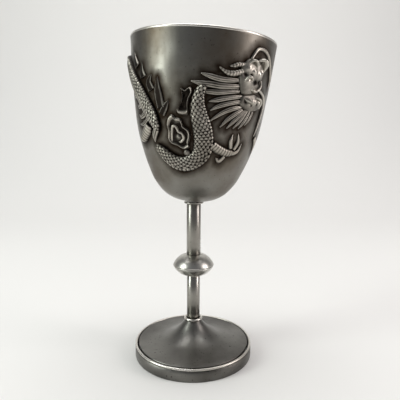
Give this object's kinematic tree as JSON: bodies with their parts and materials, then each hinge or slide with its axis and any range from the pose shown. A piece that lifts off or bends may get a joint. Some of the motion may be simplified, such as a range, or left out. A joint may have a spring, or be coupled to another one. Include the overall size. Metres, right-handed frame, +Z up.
{
  "type": "cordial_cup",
  "caption": "Small worn silver cordial cup with a flared round foot, a sharp-edged knop on its stem, and a tall leaning bowl with a raised dragon and cloud.",
  "frame": {"origin": "The middle of the cup's box, on the plane that the foot's band stands on. The stem's axis is 1.6 mm to the left and 1.8 mm behind it, because the bowl leans.", "axes": "+Z runs up the stem to the bowl's mouth, -Y is the side with the dragon's cloud, as pictured, and +X is the picture's right."},
  "size_m": [0.044, 0.0418, 0.0968],
  "materials": {
    "silver_cup": "worn polished silver",
    "silver_foot": "tarnished silver with fine specks",
    "silver_relief": "polished ridges over dark oxidised recesses"
  },
  "bodies": {
    "root": {"back_fin_1": "silver_relief", "back_fin_2": "silver_relief", "back_fin_3": "silver_relief", "back_fin_4": "silver_relief", "beard_lock_1": "silver_relief", "beard_lock_2": "silver_relief", "beard_lock_3": "silver_relief", "beard_lock_4": "silver_relief", "beard_lock_5": "silver_relief", "beard_lock_6": "silver_relief", "beard_lock_7": "silver_relief", "bowl": "silver_cup", "bowl_seat_disc": "silver_cup", "claw_1": "silver_relief", "claw_2": "silver_relief", "claw_3": "silver_relief", "claw_4": "silver_relief", "claw_5": "silver_relief", "cloud_boss": "silver_relief", "dorsal_fin": "silver_relief", "dragon_fore_body": "silver_relief", "dragon_head": "silver_relief", "dragon_hind_body": "silver_relief", "dragon_jaw": "silver_relief", "dragon_tail": "silver_relief", "flame_1": "silver_relief", "flame_2": "silver_relief", "flame_3": "silver_relief", "flame_4": "silver_relief", "flame_5": "silver_relief", "foot_band": "silver_foot", "foot_edge_wire": "silver_cup", "foot_plate": "silver_foot", "fore_leg": "silver_relief", "hind_coil_curl": "silver_relief", "hind_leg": "silver_relief", "horn_1": "silver_relief", "horn_2": "silver_relief", "knop_lower_dome": "silver_cup", "knop_upper_dome": "silver_cup", "mane_lock_1": "silver_relief", "mane_lock_2": "silver_relief", "mane_lock_3": "silver_relief", "mane_lock_4": "silver_relief", "ruyi_cloud": "silver_relief", "stem_collar_ring": "silver_cup", "stem_lower_tube": "silver_cup", "stem_upper_tube": "silver_cup", "whisker_1": "silver_relief", "whisker_2": "silver_relief"}
  },
  "joints": []
}
